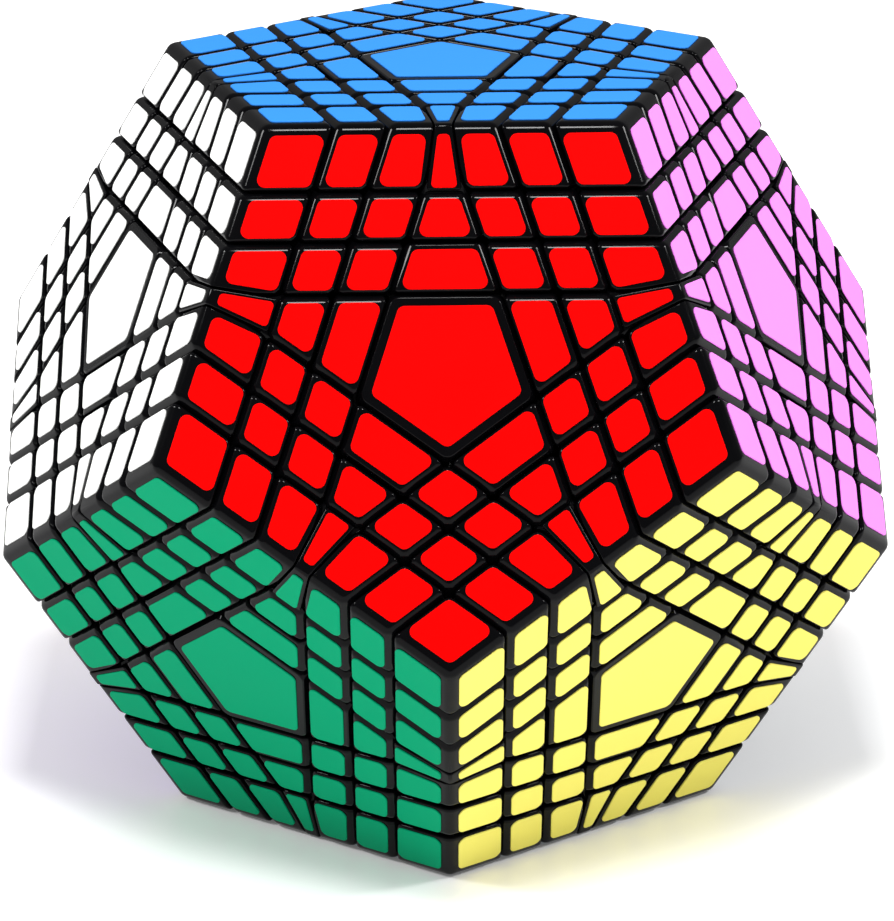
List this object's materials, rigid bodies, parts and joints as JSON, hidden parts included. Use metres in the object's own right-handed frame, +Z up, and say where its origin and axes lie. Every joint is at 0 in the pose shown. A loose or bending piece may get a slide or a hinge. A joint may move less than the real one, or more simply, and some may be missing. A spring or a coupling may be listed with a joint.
{
  "type": "dodecahedron twisty puzzle",
  "caption": "Twelve-sided twisty puzzle standing on one face, black pieces with coloured stickers, each face turning in three layers.",
  "frame": {"origin": "middle of the face that the puzzle stands on, at the table", "axes": "+Z up along the axis of the bottom and top faces, -Y towards the front upper face"},
  "size_m": [0.1336, 0.1404, 0.114],
  "materials": {
    "black_plastic": "polished black ABS",
    "sticker": "smooth coloured vinyl, one colour for each face",
    "core_plastic": "moulded nylon",
    "steel": "zinc-plated steel"
  },
  "bodies": {
    "core_and_fixed_pieces": {"core": "core_plastic", "fixed_caps": "black_plastic", "fixed_centre_diamonds": "black_plastic", "fixed_centre_wedges": "black_plastic", "fixed_corner_diamonds": "black_plastic", "fixed_corner_wings": "black_plastic", "fixed_corners": "black_plastic", "fixed_edge_wedges": "black_plastic", "fixed_left_slants": "black_plastic", "fixed_mid_edges": "black_plastic", "fixed_mid_wings": "black_plastic", "fixed_right_slants": "black_plastic", "fixed_stems": "black_plastic", "fixed_stickers": "sticker", "screws": "steel", "springs": "steel", "washers": "steel"},
    "front_inner_layer": {"front_inner_mid_wings": "black_plastic", "front_inner_stickers": "sticker", "front_inner_tiles": "black_plastic"},
    "front_middle_layer": {"front_middle_corner_wings": "black_plastic", "front_middle_stickers": "sticker", "front_middle_tiles": "black_plastic"},
    "front_outer_layer": {"front_outer_caps": "black_plastic", "front_outer_corner_wings": "black_plastic", "front_outer_corners": "black_plastic", "front_outer_mid_edges": "black_plastic", "front_outer_mid_wings": "black_plastic", "front_outer_stems": "black_plastic", "front_outer_stickers": "sticker", "front_outer_tiles": "black_plastic"},
    "rear_inner_layer": {"rear_inner_mid_wings": "black_plastic", "rear_inner_stickers": "sticker", "rear_inner_tiles": "black_plastic"},
    "rear_middle_layer": {"rear_middle_corner_wings": "black_plastic", "rear_middle_stickers": "sticker", "rear_middle_tiles": "black_plastic"},
    "rear_outer_layer": {"rear_outer_caps": "black_plastic", "rear_outer_corner_wings": "black_plastic", "rear_outer_corners": "black_plastic", "rear_outer_mid_edges": "black_plastic", "rear_outer_mid_wings": "black_plastic", "rear_outer_stems": "black_plastic", "rear_outer_stickers": "sticker", "rear_outer_tiles": "black_plastic"},
    "top_inner_layer": {"top_inner_mid_wings": "black_plastic", "top_inner_stickers": "sticker", "top_inner_tiles": "black_plastic"},
    "top_middle_layer": {"top_middle_corner_wings": "black_plastic", "top_middle_stickers": "sticker", "top_middle_tiles": "black_plastic"},
    "top_outer_layer": {"top_outer_caps": "black_plastic", "top_outer_corner_wings": "black_plastic", "top_outer_corners": "black_plastic", "top_outer_mid_edges": "black_plastic", "top_outer_mid_wings": "black_plastic", "top_outer_stems": "black_plastic", "top_outer_stickers": "sticker", "top_outer_tiles": "black_plastic"}
  },
  "joints": [
    {"name": "top_inner_turn", "type": "hinge", "parent": "core_and_fixed_pieces", "child": "top_inner_layer", "pos_m": [0, 0, 0.057], "axis": [0, 0, 1], "continuous": true},
    {"name": "top_middle_turn", "type": "hinge", "parent": "top_inner_layer", "child": "top_middle_layer", "pos_m": [0, 0, 0.057], "axis": [0, 0, 1], "continuous": true},
    {"name": "top_outer_turn", "type": "hinge", "parent": "top_middle_layer", "child": "top_outer_layer", "pos_m": [0, 0, 0.057], "axis": [0, 0, 1], "continuous": true},
    {"name": "front_inner_turn", "type": "hinge", "parent": "core_and_fixed_pieces", "child": "front_inner_layer", "pos_m": [0, 0, 0.057], "axis": [0.5257, -0.7236, -0.4472], "continuous": true},
    {"name": "front_middle_turn", "type": "hinge", "parent": "front_inner_layer", "child": "front_middle_layer", "pos_m": [0, 0, 0.057], "axis": [0.5257, -0.7236, -0.4472], "continuous": true},
    {"name": "front_outer_turn", "type": "hinge", "parent": "front_middle_layer", "child": "front_outer_layer", "pos_m": [0, 0, 0.057], "axis": [0.5257, -0.7236, -0.4472], "continuous": true},
    {"name": "rear_inner_turn", "type": "hinge", "parent": "core_and_fixed_pieces", "child": "rear_inner_layer", "pos_m": [0, 0, 0.057], "axis": [-0.8507, 0.2764, -0.4472], "continuous": true},
    {"name": "rear_middle_turn", "type": "hinge", "parent": "rear_inner_layer", "child": "rear_middle_layer", "pos_m": [0, 0, 0.057], "axis": [-0.8507, 0.2764, -0.4472], "continuous": true},
    {"name": "rear_outer_turn", "type": "hinge", "parent": "rear_middle_layer", "child": "rear_outer_layer", "pos_m": [0, 0, 0.057], "axis": [-0.8507, 0.2764, -0.4472], "continuous": true}
  ]
}
